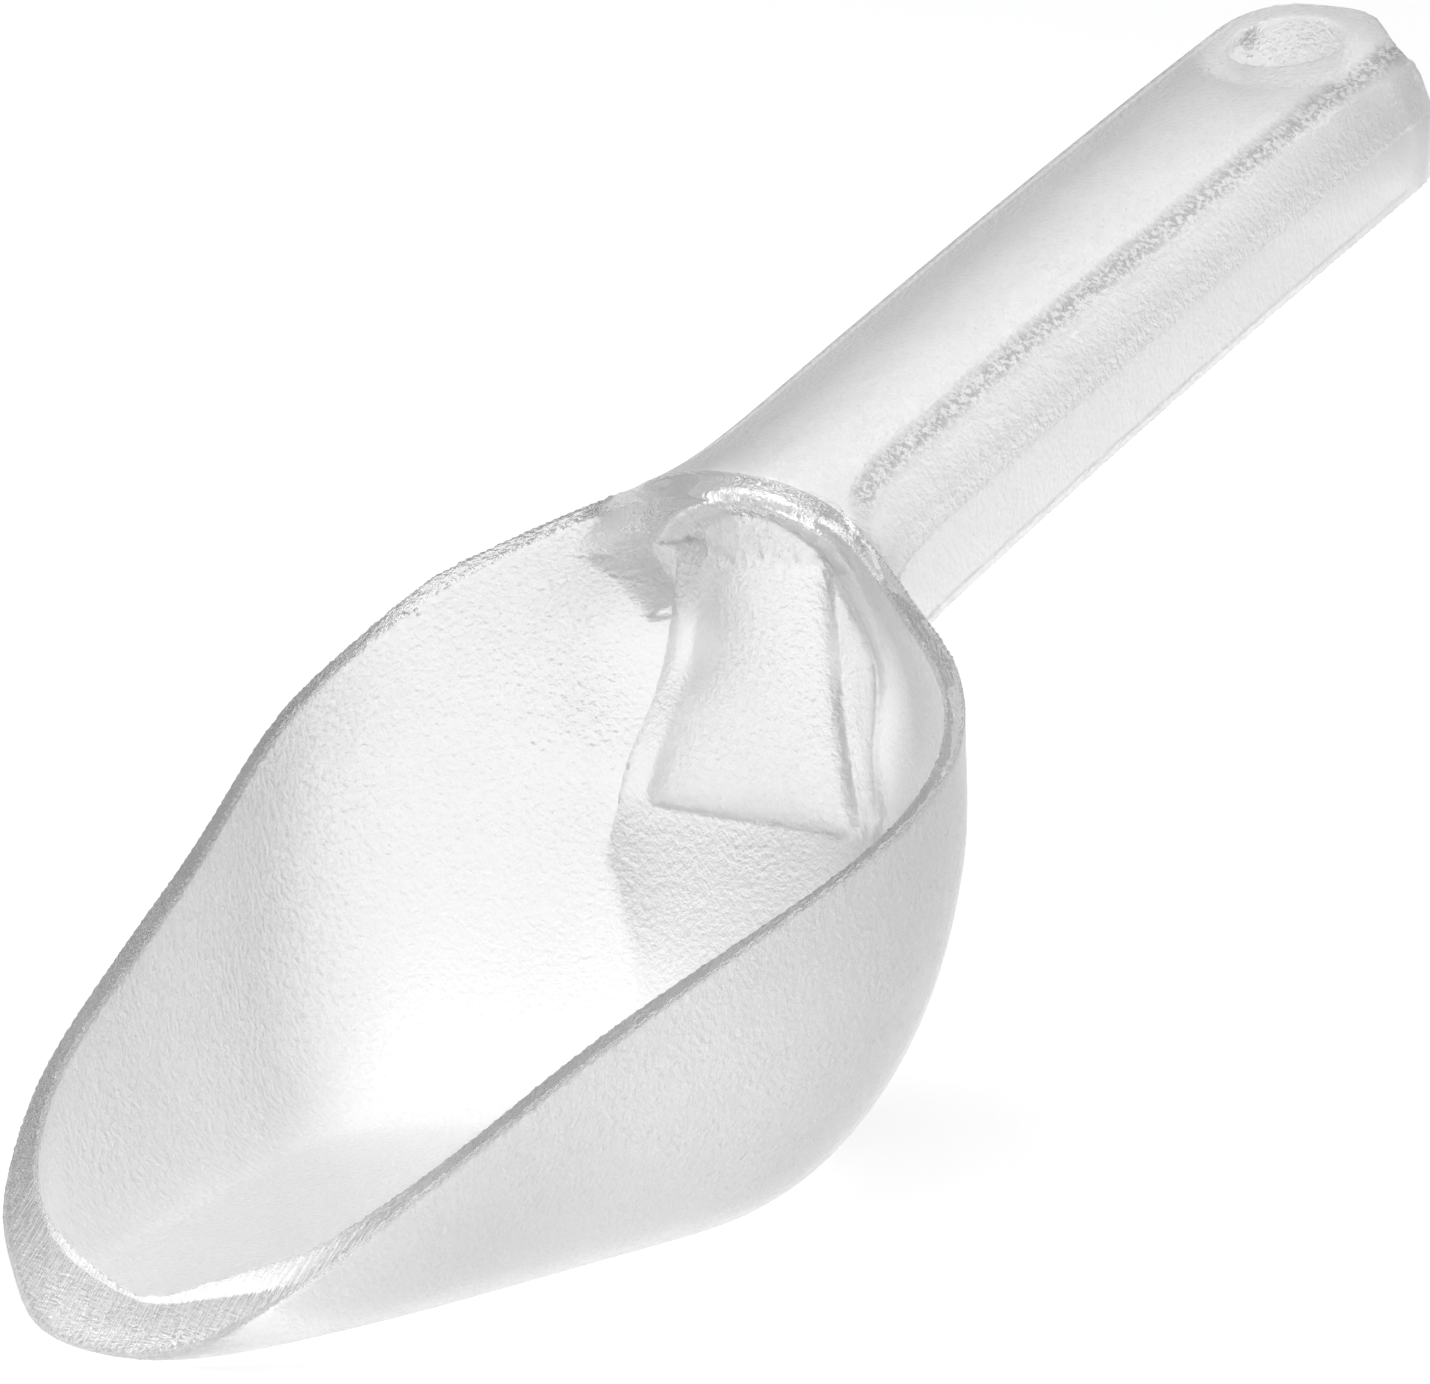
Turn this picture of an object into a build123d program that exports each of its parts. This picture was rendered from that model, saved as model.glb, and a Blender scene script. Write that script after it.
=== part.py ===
from build123d import *
import os
from math import cos, pi, sin, sqrt

# A small clear bar scoop, moulded in one shot in polycarbonate.  X runs from the scooping tip to the
# handle, Y is across and Z is up.  It is drawn with the tip at X = 0, and at export it moves so that the
# origin is the centre of the flat foot, on the surface that the scoop rests on.

# Driving dimensions, in millimetres
OVERALL_LENGTH = 231.0
FOOT_CENTRE = 45.0         # distance from the tip to the centre of the foot
WALL = 2.6                 # general wall of the moulding
EDGE_HEIGHT = 0.6          # thickness of the scooping edge at the tip
EDGE_FALL = 0.4            # how far the rim's line falls in front of the tip
PASS = 1.0                 # how far a form is carried past what it cuts or meets

# Bowl stations, one row each from the tip back to the neck.  Each row has the distance from the tip, the
# half width and the height of the rim, the place of the foot's edge below it (distance from the tip and
# half width), the height over which the wall curves up from the foot, how far the wall stands out behind
# the rim where the pockets are, and the wall's thickness.
STATIONS = [
    (0.1, 0.0, EDGE_HEIGHT, 0.9, 0.0, 1.5, 0.0, WALL),
    (3.0, 11.5, 2.8, 5.2, 8.4, 4.5, 0.0, WALL),
    (10.0, 19.4, 8.7, 16.0, 12.0, 11.0, 0.0, WALL),
    (20.0, 24.6, 15.3, 25.0, 14.5, 18.0, 0.0, WALL),
    (45.0, 31.0, 26.7, 45.0, 18.5, 26.0, 0.0, WALL),
    (70.0, 36.8, 36.0, 62.0, 21.5, 33.0, 0.0, WALL),
    (88.0, 40.0, 43.9, 73.0, 21.5, 38.0, 0.0, WALL),
    (100.8, 35.7, 52.1, 79.0, 17.0, 42.0, 0.4, 2.2),
    (106.5, 26.1, 58.8, 82.0, 12.0, 46.0, 3.0, 1.9),
    (110.9, 16.9, 63.4, 83.5, 7.5, 48.0, 7.0, 1.9),
    (113.2, 9.0, 66.0, 84.5, 3.5, 50.0, 10.0, 1.9),
    (114.0, 0.0, 66.0, 84.8, 0.0, 50.0, 11.0, 1.9),
]
# Inside the tip the surface starts further back, which leaves the wide bevel.  Each row, for the first
# stations, has the surface's distance from the tip and half width, its foot's, and its rise.
TIP_INSIDE = [
    (5.6, 0.0, 9.0, 0.0, 7.0),
    (8.6, 9.3, 12.0, 6.4, 9.0),
    (12.8, 16.6, 16.5, 11.5, 12.0),
]
ROOF_FRONT = 112.4         # front edge of the roof where the handle meets the bowl
TALL_RIM = 65.2            # height of the rim where it meets the roof's edge
TALL = 80.0                # a height that clears the top of the neck
CLOSED_HEIGHT = 58.0       # behind the roof's edge the bowl's wall is whole up to here

# Handle sections from the neck to the end.  Each row has the distance from the tip, the height of the
# middle of the roof, the half width and height of its rounded shoulder, the half width and height of the
# line where the sloping flank meets the upright skirt, and the height of the bottom edge.
NECK = [
    (110.0, 67.6, 15.5, 64.2, 21.5, 57.0, 46.4),
    (120.0, 70.2, 11.4, 67.2, 16.4, 60.2, 50.2),
    (135.0, 74.4, 10.7, 71.8, 15.5, 64.8, 55.2),
]
HANDLE_TAIL = (OVERALL_LENGTH, 100.3, 11.2, 98.9, 15.5, 92.1, 84.3)
GRIP_STATIONS = 6          # even steps from the neck's last section to the end of the handle
GRIP_CAMBER = 0.6          # how far the middle of the grip bows up
HEIGHT_COLUMNS = (1, 3, 5, 6)  # the columns of a section's row that are heights
FLANK_DROP = 0.4           # how much of the wall's thickness lowers the flank's inner line
END_LENGTH = 13.0          # length over which the handle rounds off in plan
END_STEPS = 6              # points round that half ellipse, less one
END_JOINT = 204.0          # where the handle meets its end piece
FLANK_HALF = 15.6          # half width of the rounded end
END_LEAN_START = 91.0      # height above which the end leans in, like the flanks
END_LEAN_TOP = 101.0       # height just over the roof, where the lean ends
END_LEAN = 3.4             # how far the end has leaned in by then

# Hang hole, square to the roof of the handle
HOLE_X = 220.5
HOLE_MIDDLE_Z = 88.8
HOLE_REACH = 40.0          # length of the cutting cylinder
HOLE_RADIUS = 6.6
BOSS_WALL = 2.6
HANDLE_SLOPE = 14.6        # degrees by which the roof rises near the end

# Ramp: the closed front of the handle's channel, standing into the bowl.  Each row has the height, the
# distance of its front from the tip in the middle and at its sides, and its half width.
RAMP_ROWS = [
    (5.0, 98.6, 101.5, 14.5),
    (12.0, 105.4, 108.0, 15.2),
    (18.0, 108.6, 110.4, 15.8),
    (24.0, 110.3, 111.4, 16.0),
    (30.0, 111.4, 112.0, 15.7),
    (36.0, 112.3, 112.6, 14.5),
    (41.2, 113.0, 113.7, 12.7),
    (48.3, 113.6, 114.8, 11.1),
    (55.7, 113.6, 115.1, 10.2),
    (62.8, 113.2, 115.0, 9.0),
    (TALL, 112.4, 114.8, 6.8),
]
RAMP_BACK = 130.0          # past the outside of the bowl's back wall
HOLLOW_FLOOR = 30.0        # height at which the hollow in the ramp starts

OUTER_LEVELS = [0.0, 0.8, 2.4, 5.0, 9.0, 15.0, 23.0, 32.0, 41.0, 49.0, 55.0, 60.0, 65.0, 70.0, TALL]


def spread(z, rise, wall):
    """How far the wall has come from the foot to the full outline at height z, on a quarter ellipse."""
    if z >= rise:
        return 1.0
    return sqrt(max(1.0 - ((rise - z) / (rise - wall)) ** 2, 0.0))


def wall_point(z, station, inside):
    """Where one station's wall stands at one height, outside or inside."""
    x, width, rim_height, foot_x, foot_width, rise, bulge, wall = station
    lean = bulge * min(max((rim_height - z) / (rim_height - rise), 0.0), 1.0)
    reach = Vector(x - foot_x, width - foot_width) / spread(rim_height, rise, 0.0)
    if inside:
        reach *= (1.0 + (lean - wall) / reach.length) * spread(z, rise, WALL)
    else:
        reach *= (1.0 + lean / reach.length) * spread(z, rise, 0.0)
    return foot_x + reach.X, foot_width + reach.Y


def tip_point(z, row):
    """Where the inside of the tip stands at one height."""
    x, width, foot_x, foot_width, rise = row
    part = spread(z, rise, WALL)
    return foot_x + part * (x - foot_x), foot_width + part * (width - foot_width)


def outline(z, inside):
    """Closed plan outline of the bowl's outside or inside at one height."""
    half = [wall_point(z, station, inside) for station in STATIONS]
    if inside:
        half[: len(TIP_INSIDE)] = [tip_point(z, row) for row in TIP_INSIDE]
    other = [(x, -y) for x, y in reversed(half[1:-1])]
    return Face(Wire(Spline([(x, y, z) for x, y in half + other], periodic=True)))


def tub(inside):
    """The bowl as a solid block, up past its rim, from its outer or inner surface."""
    bottom = WALL if inside else 0.0
    levels = [bottom + z * (TALL - bottom) / TALL for z in OUTER_LEVELS]
    return loft([outline(z, inside) for z in levels])


def below_rim():
    """Everything under the rim, seen from the side, in front of the roof's edge."""
    rise = [Vector(row[0], 0, row[2]) for row in STATIONS if row[0] < ROOF_FRONT]
    front = Vector(-WALL, 0, EDGE_HEIGHT - EDGE_FALL)
    top = Spline([front] + rise + [Vector(ROOF_FRONT, 0, TALL_RIM)])
    sides = Polyline((ROOF_FRONT, 0, TALL_RIM), (ROOF_FRONT, 0, -WALL), (-WALL, 0, -WALL), front)
    return extrude(Face(Wire([top] + sides.edges())), amount=TALL, dir=(0, 1, 0), both=True)


def handle_rows():
    """All the handle's sections: the neck's own, then even steps along the gently bowed grip."""
    rows = list(NECK)
    for step in range(1, GRIP_STATIONS + 1):
        part = step / GRIP_STATIONS
        bow = 4 * GRIP_CAMBER * part * (1 - part)
        row = [start + part * (end - start) for start, end in zip(NECK[-1], HANDLE_TAIL)]
        rows.append([value + bow if column in HEIGHT_COLUMNS else value for column, value in enumerate(row)])
    return rows


def handle_section(row, wall, foot):
    """One upright section under the roof's outer (wall 0) or inner surface, down to the height foot."""
    x, roof, shoulder, shoulder_z, flank, flank_z, _ = row
    side = [(flank - wall, flank_z - wall * FLANK_DROP), (shoulder - wall, shoulder_z - wall)]
    top = [Vector(x, -y, z) for y, z in side]
    top += [Vector(x, 0, roof - wall)]
    top += [Vector(x, y, z) for y, z in reversed(side)]
    left = Vector(x, wall - flank, foot)
    right = Vector(x, flank - wall, foot)
    return Face(Wire([Spline(top), Line(top[-1], right), Line(right, left), Line(left, top[0])]))


def handle_form(wall, below):
    """The handle's outer form (wall 0) or the form of its channel, carried down past its bottom edge."""
    return loft([handle_section(row, wall, row[-1] - below) for row in handle_rows()])


def slab(start, end):
    """Everything between two distances from the tip."""
    size = 2 * TALL
    return Pos((start + end) / 2, 0, 0) * Box(end - start, size, 2 * size)


def end_outline(z, reach):
    """Plan outline of the handle's end at one height, rounded off on a half ellipse as far as reach."""
    start = END_JOINT - PASS
    straight = OVERALL_LENGTH - END_LENGTH
    half = FLANK_HALF + reach - OVERALL_LENGTH
    turns = [pi / 2 - pi * step / END_STEPS for step in range(END_STEPS + 1)]
    arc = [Vector(straight + (reach - straight) * cos(turn), half * sin(turn), z) for turn in turns]
    front = Polyline((straight, -half, z), (start, -half, z), (start, half, z), (straight, half, z))
    return Face(Wire([Spline(arc, tangents=[(1, 0, 0), (-1, 0, 0)])] + front.edges()))


def end_form(wall):
    """The rounded end as an upright block whose top leans in all round, like the flanks."""
    reach = OVERALL_LENGTH - wall
    upright = extrude(end_outline(0.0, reach), amount=END_LEAN_START, dir=(0, 0, 1))
    ends = [end_outline(END_LEAN_START, reach), end_outline(END_LEAN_TOP, reach - END_LEAN)]
    leaning = loft(ends, ruled=True)
    return upright + leaning


def ramp_block(wall, lowest):
    """The ramp's outer form (wall 0) or the hollow in it, run back through the bowl's wall."""
    sections = []
    for z, middle, side, half in RAMP_ROWS:
        if z < lowest:
            continue
        edge = half - wall
        left = (side + wall, edge, z)
        right = (side + wall, -edge, z)
        front = Spline(left, (middle + wall, 0, z), right)
        back = Polyline(right, (RAMP_BACK, -edge, z), (RAMP_BACK, edge, z), left)
        sections.append(Face(Wire([front] + back.edges())))
    return loft(sections)


def covered():
    """Everything under the inside of the roof, and everything low enough to be under the neck."""
    low = Pos(0, 0, CLOSED_HEIGHT - TALL) * Box(2 * OVERALL_LENGTH, 2 * TALL, 2 * TALL)
    return handle_form(WALL, TALL) + low


def bowl(outside, inside, cover, hollow):
    """The open shell: cut along the rim, closed under the roof, open into the ramp's hollow."""
    neck = slab(ROOF_FRONT, OVERALL_LENGTH) & cover
    return (outside - inside) & (below_rim() + neck) - hollow


def thumb_ramp(inside, cover, hollow):
    """The closed front of the handle's channel, from the bowl's floor up to the roof."""
    return (ramp_block(0.0, 0.0) - hollow) & inside & cover


def hang_hole(radius):
    """A cylinder square to the roof at the hang hole."""
    place = Pos(HOLE_X, 0, HOLE_MIDDLE_Z) * Rot(0, -HANDLE_SLOPE, 0)
    return place * Cylinder(radius, HOLE_REACH)


def handle(form, channel, others):
    """The inverted channel that the hand holds, from the bowl's shoulders to its solid end."""
    shell = (form - channel) & slab(NECK[0][0], END_JOINT)
    for other in others:
        shell -= other
    return max(shell.solids(), key=lambda solid: solid.volume)


def handle_end(form, channel):
    """The rounded end, with a boss round the hang hole."""
    block = form & slab(END_JOINT, OVERALL_LENGTH + PASS) & end_form(0.0)
    hollow = channel & end_form(WALL)
    return (block - (hollow - hang_hole(HOLE_RADIUS + BOSS_WALL))) - hang_hole(HOLE_RADIUS)


def main():
    os.makedirs("parts", exist_ok=True)
    outside = tub(False)
    inside = tub(True)
    form = handle_form(0.0, 0.0)
    channel = handle_form(WALL, PASS)
    cover = covered()
    hollow = ramp_block(WALL, HOLLOW_FLOOR)
    shell = bowl(outside, inside, cover, hollow)
    ramp = thumb_ramp(inside, cover, hollow)
    open_top = outside & slab(0, ROOF_FRONT)
    pieces = {
        "bowl": shell,
        "thumb_ramp": ramp,
        "handle": handle(form, channel, [open_top, shell, ramp]),
        "handle_end": handle_end(form, channel),
    }
    for name, piece in pieces.items():
        export_step(Pos(-FOOT_CENTRE, 0, 0) * piece, f"parts/{name}.step")


main()
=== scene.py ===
import bpy
import numpy as np
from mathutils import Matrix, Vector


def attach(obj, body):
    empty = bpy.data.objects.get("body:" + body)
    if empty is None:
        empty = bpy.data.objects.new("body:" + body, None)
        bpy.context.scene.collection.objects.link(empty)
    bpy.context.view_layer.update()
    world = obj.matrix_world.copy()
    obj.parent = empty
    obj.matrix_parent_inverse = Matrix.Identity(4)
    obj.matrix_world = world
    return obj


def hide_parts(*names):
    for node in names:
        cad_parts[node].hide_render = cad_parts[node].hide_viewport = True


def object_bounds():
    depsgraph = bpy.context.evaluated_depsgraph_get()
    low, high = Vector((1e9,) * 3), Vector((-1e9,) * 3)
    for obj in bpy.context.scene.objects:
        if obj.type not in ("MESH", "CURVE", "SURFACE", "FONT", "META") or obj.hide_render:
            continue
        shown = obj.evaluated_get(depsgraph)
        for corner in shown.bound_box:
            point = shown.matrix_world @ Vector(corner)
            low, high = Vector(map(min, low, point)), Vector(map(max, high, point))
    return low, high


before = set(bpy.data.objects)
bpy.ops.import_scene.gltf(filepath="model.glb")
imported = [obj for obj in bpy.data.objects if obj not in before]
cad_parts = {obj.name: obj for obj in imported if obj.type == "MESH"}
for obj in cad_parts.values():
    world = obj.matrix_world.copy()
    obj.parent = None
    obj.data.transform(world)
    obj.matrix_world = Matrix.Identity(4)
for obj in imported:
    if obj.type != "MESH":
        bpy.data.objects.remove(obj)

import openvdb
from mathutils import Matrix, Vector

bpy.context.view_layer.update()
CAD_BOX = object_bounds()

# A small clear bar scoop, moulded in one shot in polycarbonate.  Lengths are in metres, except where a
# comment says millimetres: the level-set steps and the zones of the skin work in those.
MM = 1000.0

# Level set, in millimetres
VOXEL = 0.35
BAND = 5.0                 # width of the band of distances on each side of the surface, in voxels
FILLET = 0.8               # radius given to inner corners
SMOOTHING_STEPS = 10
SMOOTH = 0.5               # share of the way to its neighbours' middle that a point moves on even steps
UNSMOOTH = -0.53           # and back again on odd steps
MOST_TRIANGLES = 190_000

# The rim's line from the side, in millimetres: distance from the tip and height
RIM = [
    (-2.6, 0.2), (0.1, 0.6), (3.0, 2.8), (10.0, 8.7), (20.0, 15.3), (45.0, 26.7), (70.0, 36.0),
    (88.0, 43.9), (100.8, 52.1), (106.5, 58.8), (110.9, 63.4), (112.4, 65.2),
]
# The handle from the side, in millimetres: distance from the tip, height of the parting line, and half
# width and height of the crest of the shoulder
HANDLE_LINES = [
    (110.0, 57.0, 15.5, 64.2), (120.0, 60.2, 11.4, 67.2), (135.0, 64.8, 10.7, 71.8),
    (183.0, 79.05, 10.95, 85.95), (231.0, 92.1, 11.2, 98.9),
]
ROOF_FRONT = 112.4         # distance in millimetres from the tip to the roof's front edge
TIP_X = CAD_BOX[0].x * MM

# Where each zone of the skin fades in or out.  Distances are in millimetres, and the others are parts of
# a unit normal.
RIM_DISTANCE = (0.5, 1.0)  # above or below the rim's line
RIM_SIDEWAYS = (0.3, 0.6)
RIM_UPWARDS = (0.2, 0.4)
ARCH_DISTANCE = (0.5, 0.9)
ARCH_FORWARDS = (0.6, 0.8)
ARCH_HEIGHT = 60
BOWL_AXIS = (30, 95)       # from and to along the bowl, at the height below
BOWL_AXIS_HEIGHT = 60
FACING = (-0.1, 0.1)
INSIDE_END = (112, 116)
SKIRT_EDGE = (-0.25, 0.25)
SKIRT_START = (111, 118)
CREST_DISTANCE = (0.3, 2.2)
CREST_START = (112, 118)
BEVEL_END = (8, 22)
GRIP_START = (108, 125)

CAMERA_PLACE = (-1.0866, -0.7901, 0.3879)
CAMERA_FORWARD = (0.8003, 0.5503, -0.2382)
CAMERA_RIGHT = (0.5666, -0.8240, 0.0)
FLOOR_HALF = 12.0
FLOOR_DROP = 0.0002        # keeps the floor just clear of the foot


# ---------------------------------------------------------------- camera
def camera():
    """A long lens that looks slightly down on the open bowl."""
    data = bpy.data.cameras.new("camera")
    data.sensor_width = 36.0
    data.sensor_fit = "HORIZONTAL"
    data.lens = 346.6
    data.shift_x = 0.001
    data.clip_end = 100.0
    cam = bpy.data.objects.new("camera", data)
    bpy.context.collection.objects.link(cam)
    forward = Vector(CAMERA_FORWARD).normalized()
    right = Vector(CAMERA_RIGHT).normalized()
    up = right.cross(forward).normalized()
    right = forward.cross(up).normalized()
    rotation = Matrix((right, up, -forward)).transposed().to_4x4()
    cam.matrix_world = Matrix.Translation(CAMERA_PLACE) @ rotation
    bpy.context.scene.camera = cam


# ---------------------------------------------------------------- moulding
def node_mesh(obj):
    """A node's points in millimetres and its triangles."""
    mesh = obj.data
    points = np.empty(len(mesh.vertices) * 3, np.float32)
    mesh.vertices.foreach_get("co", points)
    mesh.calc_loop_triangles()
    triangles = np.empty(len(mesh.loop_triangles) * 3, np.int32)
    mesh.loop_triangles.foreach_get("vertices", triangles)
    return points.reshape(-1, 3) * MM, triangles.reshape(-1, 3).astype(np.uint32)


def distance_grid(points, triangles=None, quads=None):
    """True distance to a closed surface, in a band on both sides of it."""
    return openvdb.FloatGrid.createLevelSetFromPolygons(
        points.astype(np.float32),
        triangles=triangles,
        quads=quads,
        transform=openvdb.createLinearTransform(VOXEL),
        exBandWidth=BAND,
        inBandWidth=BAND,
    )


def joined_grid(objects):
    """The distance to all the nodes together.  A box's corners 0 and 6 are its lowest and highest."""
    low = np.array([min(o.bound_box[0][a] for o in objects) * MM for a in range(3)]) - BAND
    high = np.array([max(o.bound_box[6][a] for o in objects) * MM for a in range(3)]) + BAND
    first = tuple(int(v) for v in np.floor(low / VOXEL))
    count = (np.ceil(high / VOXEL) - np.array(first)).astype(int)
    joined = np.full(count, BAND * VOXEL, np.float32)
    for obj in objects:
        points, triangles = node_mesh(obj)
        grid = distance_grid(points, triangles)
        values = np.full(count, grid.background, np.float32)
        grid.copyToArray(values, first)
        joined = np.minimum(joined, values)
    grid = openvdb.FloatGrid(BAND * VOXEL)
    grid.transform = openvdb.createLinearTransform(VOXEL)
    grid.copyFromArray(joined, first)
    return grid


def offset(grid, by):
    """The distance to the surface that lies that far outside this one."""
    points, quads = grid.convertToQuads(by)
    return distance_grid(points, quads=quads.astype(np.uint32))


def relax(points, quads, steps):
    """Taubin smoothing, which evens out the facets and keeps the size."""
    edges = np.concatenate([quads[:, [0, 1]], quads[:, [1, 2]], quads[:, [2, 3]], quads[:, [3, 0]]])
    number = np.bincount(edges[:, 0], minlength=len(points)).astype(float)
    for step in range(steps):
        total = np.stack([np.bincount(edges[:, 0], points[edges[:, 1], a], len(points)) for a in range(3)], 1)
        move = total / number[:, None] - points
        points = points + move * (SMOOTH if step % 2 == 0 else UNSMOOTH)
    return points


def moulding(nodes):
    """One closed mesh of the whole moulding, with its fillets, kept inside the CAD box."""
    grid = joined_grid(nodes)
    grid = offset(grid, FILLET)
    points, quads = grid.convertToQuads(-FILLET)
    points = relax(points.astype(float), quads, SMOOTHING_STEPS) / MM
    mesh = bpy.data.meshes.new("scoop_moulding")
    mesh.from_pydata(points.tolist(), [], quads[:, ::-1].tolist())
    mesh.update()
    obj = bpy.data.objects.new("scoop_moulding", mesh)
    bpy.context.collection.objects.link(obj)
    thin = obj.modifiers.new("thin", "DECIMATE")
    thin.ratio = min(MOST_TRIANGLES / (2 * len(quads)), 1.0)
    graph = bpy.context.evaluated_depsgraph_get()
    obj.data = bpy.data.meshes.new_from_object(obj.evaluated_get(graph))
    obj.modifiers.clear()
    for vertex in obj.data.vertices:
        vertex.co = [min(max(c, low), high) for c, low, high in zip(vertex.co, *CAD_BOX)]
    obj.data.shade_smooth()
    return obj


# ---------------------------------------------------------------- zones of the skin
def curve(x, rows):
    """A smooth curve through rows of (x, value)."""
    xs, values = np.array(rows).T
    slopes = np.gradient(values, xs)
    i = np.clip(np.searchsorted(xs, x) - 1, 0, len(xs) - 2)
    step = xs[i + 1] - xs[i]
    t = np.clip((x - xs[i]) / step, 0, 1)
    start = (1 + 2 * t) * (1 - t) ** 2 * values[i] + t * (1 - t) ** 2 * step * slopes[i]
    end = t * t * (3 - 2 * t) * values[i + 1] + t * t * (t - 1) * step * slopes[i + 1]
    return start + end


def ease(value, start, end):
    """0 up to start and 1 from end, with a smooth step between them."""
    t = np.clip((value - start) / (end - start), 0, 1)
    return t * t * (3 - 2 * t)


def vectors(items, name):
    """One three-part value of each item, one row each."""
    values = np.empty(len(items) * 3, np.float32)
    items.foreach_get(name, values)
    return values.reshape(-1, 3)


def rim_zone(x, points, normals):
    """The cut faces along the rim, and the front edge of the roof above the ramp."""
    off_rim = np.abs(points[:, 2] - curve(x, RIM))
    rim = 1 - ease(off_rim, *RIM_DISTANCE)
    rim = rim * (1 - ease(np.abs(normals[:, 1]), *RIM_SIDEWAYS)) * ease(normals[:, 2], *RIM_UPWARDS)
    rim *= x < ROOF_FRONT + 1
    arch = 1 - ease(np.abs(x - ROOF_FRONT), *ARCH_DISTANCE)
    arch = arch * ease(-normals[:, 0], *ARCH_FORWARDS) * (points[:, 2] > ARCH_HEIGHT)
    return rim, arch


def inside_zone(x, points, normals):
    """The skin that faces a line along the middle of the bowl."""
    axis = np.stack([np.clip(x, *BOWL_AXIS) - x, -points[:, 1], BOWL_AXIS_HEIGHT - points[:, 2]], 1)
    axis /= np.linalg.norm(axis, axis=1)[:, None]
    return ease((axis * normals).sum(1), *FACING) * (1 - ease(x, *INSIDE_END))


def handle_zones(x, points, normals):
    """The handle's skirt under the parting line, and the crest of its shoulder."""
    rows = np.array(HANDLE_LINES)
    parting, crest_half, crest_z = (curve(x, rows[:, [0, column]]) for column in (1, 2, 3))
    outward = ease(normals[:, 2] + np.abs(normals[:, 1]) * np.sign(points[:, 1] * normals[:, 1]), *FACING)
    skirt = ease(parting - points[:, 2], *SKIRT_EDGE) * ease(x, *SKIRT_START)
    off_crest = np.hypot(np.abs(points[:, 1]) - crest_half, points[:, 2] - crest_z)
    crest = (1 - ease(off_crest, *CREST_DISTANCE)) * ease(x, *CREST_START) * outward
    return skirt, crest


def mark(obj):
    """Stores how much of each zone every point of the skin is in."""
    mesh = obj.data
    points = vectors(mesh.vertices, "co") * MM
    normals = vectors(mesh.vertices, "normal")
    x = points[:, 0] - TIP_X
    rim, arch = rim_zone(x, points, normals)
    skirt, crest = handle_zones(x, points, normals)
    zones = {
        "skirt": skirt,
        "crest": crest,
        "rim": np.maximum(rim, arch),
        "inside": inside_zone(x, points, normals),
        "bevel": rim * (1 - ease(x, *BEVEL_END)),
        "grip": ease(x, *GRIP_START),
    }
    for name, values in zones.items():
        layer = mesh.attributes.new(name, "FLOAT", "POINT")
        layer.data.foreach_set("value", values.astype(np.float32))


# ---------------------------------------------------------------- materials
class Tree:
    """A material's nodes, with short calls for the ones used here."""

    def __init__(self, name):
        self.mat = bpy.data.materials.new(name)
        self.mat.use_nodes = True
        self.nodes = self.mat.node_tree.nodes
        self.links = self.mat.node_tree.links
        self.nodes.clear()

    def put(self, socket, value):
        """Links another node's output to the socket, or sets the socket's own value."""
        if isinstance(value, bpy.types.NodeSocket):
            self.links.new(value, socket)
        else:
            socket.default_value = value

    def node(self, kind, **values):
        node = self.nodes.new(kind)
        for key, value in values.items():
            self.put(node.inputs[key.replace("_", " ")], value)
        return node

    def math(self, operation, a, b):
        node = self.nodes.new("ShaderNodeMath")
        node.operation = operation
        for socket, value in zip(node.inputs, (a, b)):
            self.put(socket, value)
        return node.outputs[0]

    def mix(self, factor, a, b):
        """a where factor is 0, b where it is 1."""
        return self.node("ShaderNodeMapRange", Value=factor, To_Min=a, To_Max=b).outputs["Result"]

    def attribute(self, name):
        node = self.nodes.new("ShaderNodeAttribute")
        node.attribute_name = name
        return node.outputs["Fac"]


def surface_height(t, pebble, comb, zones):
    """Height of the fine relief: pebbles, the ledge of the skirt, the crest, and the combed bevel."""
    hand = t.math("ADD", t.mix(zones["skirt"], 1.3, 0.35), t.math("MULTIPLY", zones["crest"], 3.0))
    depth = t.mix(zones["rim"], t.mix(zones["inside"], t.mix(zones["grip"], 0.8, hand), 0.6), 0.0)
    height = t.math("MULTIPLY", pebble, depth)
    height = t.math("ADD", height, t.math("MULTIPLY", zones["skirt"], 1.2))
    height = t.math("ADD", height, t.math("MULTIPLY", zones["crest"], 2.5))
    return t.math("ADD", height, t.math("MULTIPLY", comb, t.math("MULTIPLY", zones["bevel"], 0.3)))


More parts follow.
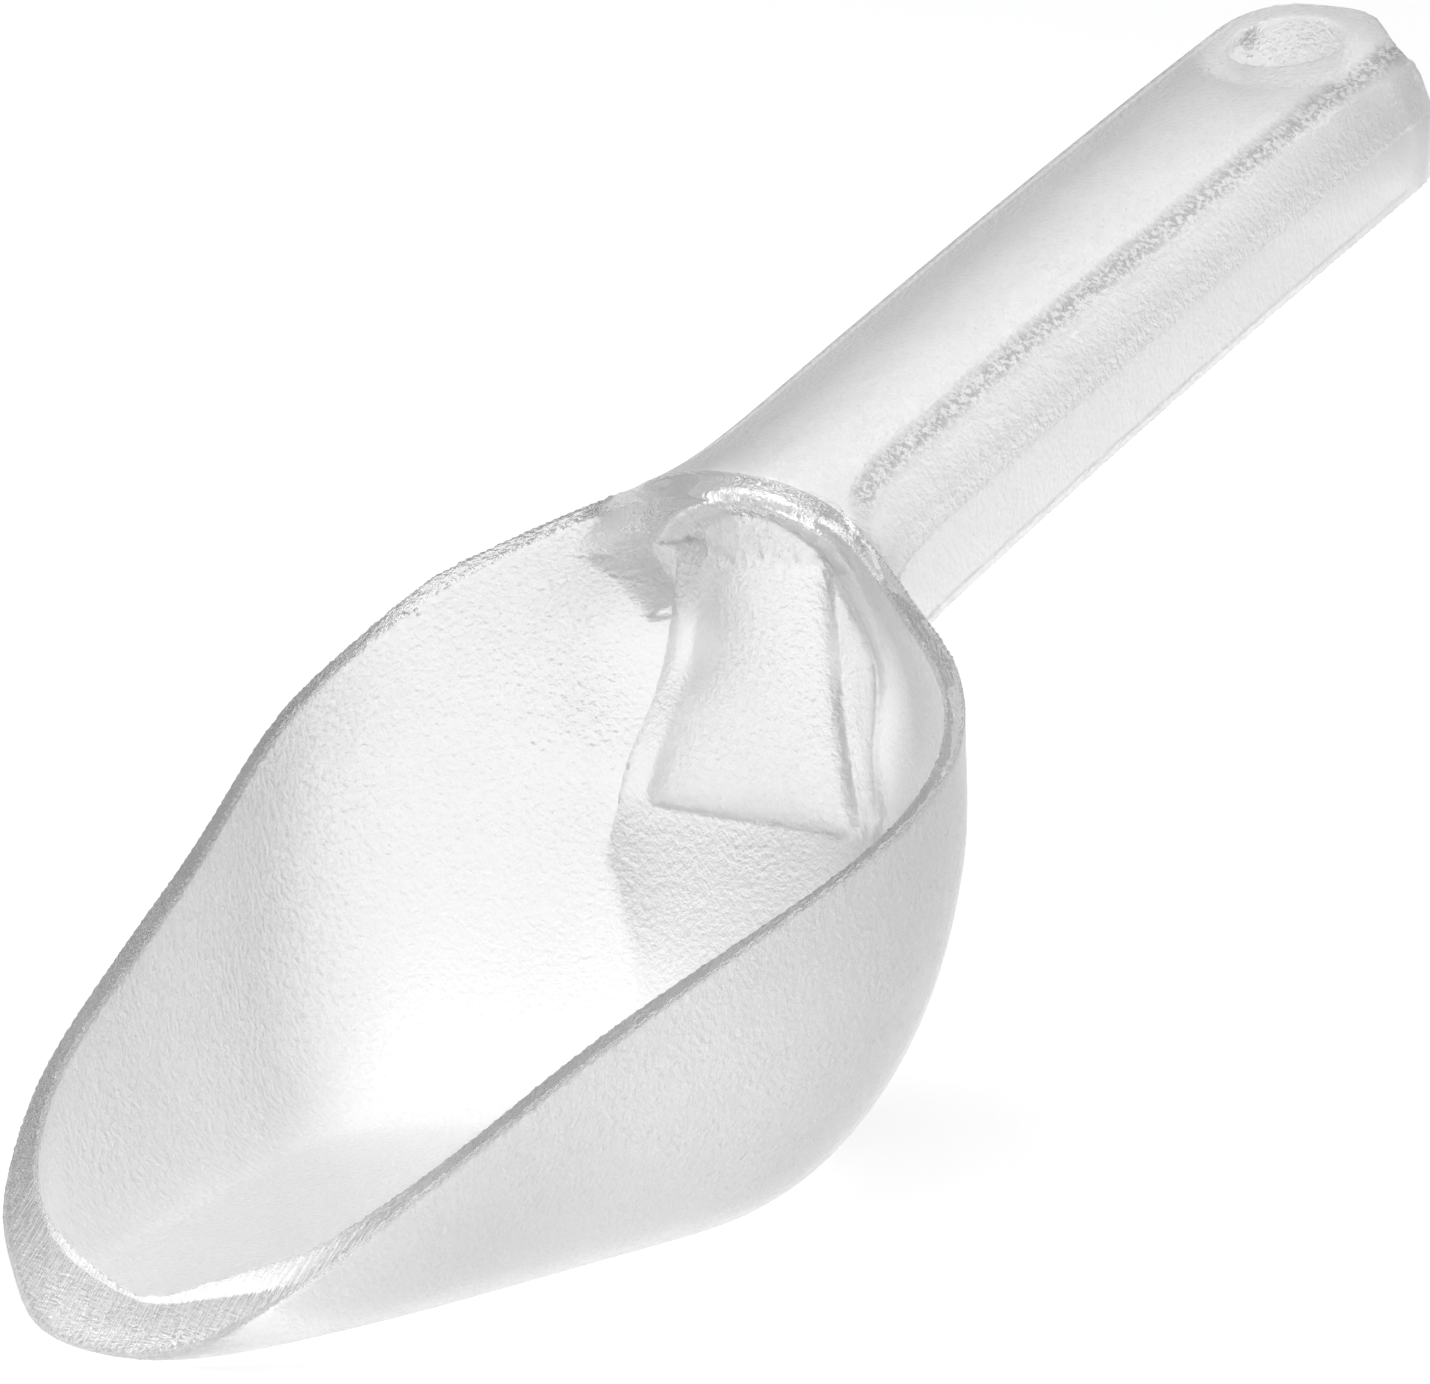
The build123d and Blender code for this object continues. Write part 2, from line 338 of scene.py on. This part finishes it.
def clear_plastic():
    """Clear polycarbonate: pebbled, glossy on the rim's cut faces, with a darker stipple of painted shade on
    the crest.
    """
    t = Tree("clear_polycarbonate_pebbled")
    place = t.node("ShaderNodeTexCoord").outputs["Object"]
    zones = {name: t.attribute(name) for name in ("rim", "inside", "bevel", "grip", "skirt", "crest")}
    pebble = t.node("ShaderNodeTexNoise", Vector=place, Scale=1500.0, Detail=2.0, Roughness=0.6)
    pebble = pebble.outputs["Fac"]
    wear = t.node("ShaderNodeTexNoise", Vector=place, Scale=60.0, Detail=4.0, Roughness=0.6)
    wear = wear.outputs["Fac"]
    comb = t.node("ShaderNodeMapping", Vector=place, Scale=(260.0, 2400.0, 260.0)).outputs["Vector"]
    comb = t.node("ShaderNodeTexNoise", Vector=comb, Scale=1.0, Detail=1.0).outputs["Fac"]
    height = surface_height(t, pebble, comb, zones)
    bump = t.node("ShaderNodeBump", Strength=1.0, Distance=0.0003, Height=height).outputs["Normal"]
    skin = t.mix(zones["inside"], t.mix(wear, 0.26, 0.44), t.mix(wear, 0.26, 0.42))
    rough = t.mix(zones["rim"], skin, 0.06)
    # Painted shade: a dark stipple painted into the colour along the handle's crest, in place of the dark
    # streak that the light leaves there.
    painted_shade_stipple = t.node("ShaderNodeMapRange", Value=pebble, From_Min=0.44, From_Max=0.56).outputs["Result"]
    clear = t.mix(zones["inside"], 0.98, 0.93)
    colour = t.mix(t.math("MULTIPLY", zones["crest"], painted_shade_stipple), clear, 0.42)
    shader = t.node("ShaderNodeBsdfPrincipled", Base_Color=colour, Roughness=rough, Normal=bump)
    shader.inputs["IOR"].default_value = 1.585
    shader.inputs["Transmission Weight"].default_value = 1.0
    see_through = t.node("ShaderNodeBsdfTransparent", Color=(0.82, 0.82, 0.82, 1))
    shadow = t.node("ShaderNodeLightPath").outputs["Is Shadow Ray"]
    mix = t.node("ShaderNodeMixShader", Fac=shadow)
    t.links.new(shader.outputs[0], mix.inputs[1])
    t.links.new(see_through.outputs[0], mix.inputs[2])
    t.node("ShaderNodeOutputMaterial", Surface=mix.outputs[0])
    return t.mat


# ---------------------------------------------------------------- stage
def floor():
    """A plain pale floor."""
    mesh = bpy.data.meshes.new("floor")
    s = FLOOR_HALF
    mesh.from_pydata([(-s, -s, 0), (s, -s, 0), (s, s, 0), (-s, s, 0)], [], [(0, 1, 2, 3)])
    obj = bpy.data.objects.new("floor", mesh)
    obj.location.z = -FLOOR_DROP
    bpy.context.collection.objects.link(obj)
    mat = bpy.data.materials.new("floor")
    mat.use_nodes = True
    shader = mat.node_tree.nodes["Principled BSDF"]
    shader.inputs["Base Color"].default_value = (0.92, 0.92, 0.92, 1)
    shader.inputs["Roughness"].default_value = 0.9
    shader.inputs["Specular IOR Level"].default_value = 0.0
    mesh.materials.append(mat)


def light(name, place, target, size, power):
    """A soft rectangular lamp that points at its target."""
    data = bpy.data.lights.new(name, "AREA")
    data.shape = "RECTANGLE"
    data.size, data.size_y = size
    data.energy = power
    obj = bpy.data.objects.new(name, data)
    obj.location = place
    obj.rotation_euler = (Vector(target) - Vector(place)).to_track_quat("-Z", "Y").to_euler()
    bpy.context.collection.objects.link(obj)


def surroundings():
    """Pale surroundings, darker towards the horizon."""
    world = bpy.data.worlds.new("world")
    world.use_nodes = True
    nodes, links = world.node_tree.nodes, world.node_tree.links
    direction = nodes.new("ShaderNodeTexCoord")
    split = nodes.new("ShaderNodeSeparateXYZ")
    ramp = nodes.new("ShaderNodeValToRGB")
    links.new(direction.outputs["Generated"], split.inputs[0])
    links.new(split.outputs["Z"], ramp.inputs[0])
    ramp.color_ramp.elements[0].position = 0.0
    ramp.color_ramp.elements[0].color = (0.25, 0.251, 0.253, 1)
    ramp.color_ramp.elements[1].position = 0.9
    ramp.color_ramp.elements[1].color = (0.6, 0.602, 0.604, 1)
    links.new(ramp.outputs[0], nodes["Background"].inputs["Color"])
    nodes["Background"].inputs["Strength"].default_value = 1.0
    bpy.context.scene.world = world


camera()
scoop = moulding(list(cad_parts.values()))
mark(scoop)
scoop.data.materials.append(clear_plastic())
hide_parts("bowl", "thumb_ramp", "handle", "handle_end")
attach(scoop, "root")
floor()
surroundings()
light("top", (0.1, 0.1, 1.6), (0.07, 0, 0), (1.6, 1.6), 18.5)
light("left", (-0.4, 1.4, 0.8), (0.07, 0, 0.04), (1.2, 1.0), 6)
scene = bpy.context.scene
scene.view_settings.view_transform = "Standard"
scene.cycles.max_bounces = 16
scene.cycles.transmission_bounces = 16
